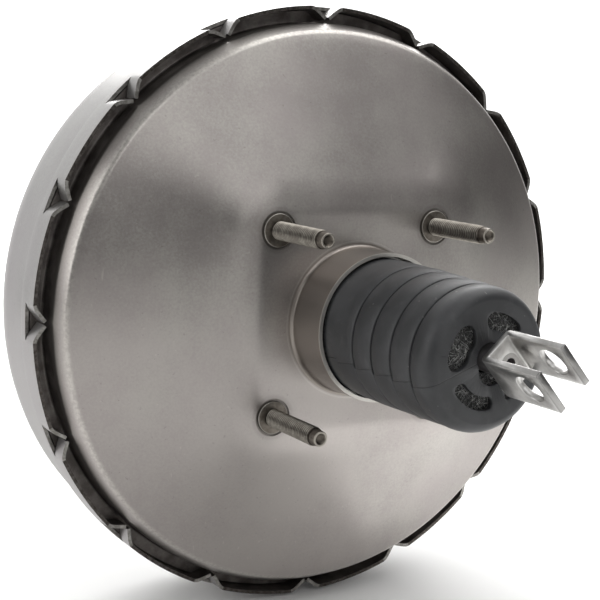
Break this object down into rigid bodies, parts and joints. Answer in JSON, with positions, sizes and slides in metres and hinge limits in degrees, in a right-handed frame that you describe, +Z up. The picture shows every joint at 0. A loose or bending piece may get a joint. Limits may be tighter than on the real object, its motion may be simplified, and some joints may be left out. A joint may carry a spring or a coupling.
{
  "type": "brake booster",
  "caption": "Vacuum brake booster: shallow steel drum with a square rear pad and studs, a rubber boot round a push rod with a clevis, and a hose check valve in front.",
  "frame": {"origin": "centre of the firewall studs' square, on the outer face of the rear pad", "axes": "+Y along the booster's axis from the pedal towards the master cylinder, +Z up with the check valve above the axis, +X completes the right-handed frame"},
  "size_m": [0.27, 0.2676, 0.27],
  "materials": {
    "front_paint": "satin",
    "rear_paint": "satin",
    "stud_steel": "phosphated",
    "plain_steel": "satin",
    "spring_steel": "oiled",
    "zinc": "bright zinc plate",
    "boot_rubber": "moulded",
    "rubber": "moulded",
    "felt": "fibrous foam",
    "hub_plastic": "moulded phenolic",
    "bearing_plastic": "moulded",
    "valve_plastic": "moulded nylon",
    "alloy": "turned"
  },
  "bodies": {
    "housing": {"front_shell": "front_paint", "rear_shell": "rear_paint", "firewall_studs": "stud_steel", "rear_reinforcement_plate": "plain_steel", "neck_bearing": "bearing_plastic", "neck_seal": "rubber", "seal_retainer": "plain_steel", "front_reinforcement_plate": "plain_steel", "master_cylinder_studs": "stud_steel", "check_valve_grommet": "rubber", "diaphragm": "rubber", "piston_return_spring": "spring_steel"},
    "power_piston": {"diaphragm_plate": "plain_steel", "valve_body": "hub_plastic", "stop_key": "zinc", "reaction_disc": "rubber", "output_rod": "zinc", "output_rod_tip": "zinc", "output_rod_retainer": "plain_steel", "poppet_valve": "rubber", "poppet_retainer": "plain_steel", "poppet_spring": "spring_steel", "air_filter": "felt"},
    "air_valve": {"plunger": "alloy"},
    "input_rod": {"input_rod": "zinc", "rod_return_spring": "spring_steel", "boot": "boot_rubber", "boot_silencer": "felt"},
    "clevis": {"clevis_base": "zinc", "clevis_left_ear": "zinc", "clevis_right_ear": "zinc"},
    "check_valve": {"check_valve_body": "valve_plastic", "check_valve_cap": "valve_plastic", "check_valve_spring": "spring_steel"},
    "check_disc": {"check_valve_disc": "rubber"}
  },
  "joints": [
    {"name": "piston_slide", "type": "slide", "parent": "housing", "child": "power_piston", "axis": [0, 1, 0], "range_m": [0, 0.034], "stiffness_N_per_m": 1500, "springref_m": -0.02, "deforming": ["boot", "diaphragm", "piston_return_spring"]},
    {"name": "air_valve_slide", "type": "slide", "parent": "power_piston", "child": "air_valve", "axis": [0, 1, 0], "range_m": [0, 0.0016], "stiffness_N_per_m": 2000, "springref_m": -0.002, "deforming": ["rod_return_spring", "poppet_spring", "poppet_valve"]},
    {"name": "rod_pitch", "type": "hinge", "parent": "air_valve", "child": "input_rod", "pos_m": [0, -0.011, 0], "axis": [1, 0, 0], "range_deg": [-2, 2], "stiffness_Nm_per_rad": 15, "springref_deg": -0.26},
    {"name": "clevis_spin", "type": "hinge", "parent": "input_rod", "child": "clevis", "pos_m": [0, -0.011, 0], "axis": [0, 1, -0.0087], "continuous": true},
    {"name": "check_valve_swivel", "type": "hinge", "parent": "housing", "child": "check_valve", "pos_m": [0, 0.104, 0.084], "axis": [0, 1, 0], "continuous": true},
    {"name": "check_disc_slide", "type": "slide", "parent": "check_valve", "child": "check_disc", "axis": [0, 1, 0], "range_m": [0, 0.002], "stiffness_N_per_m": 50, "springref_m": -0.004, "deforming": ["check_valve_spring"]}
  ]
}
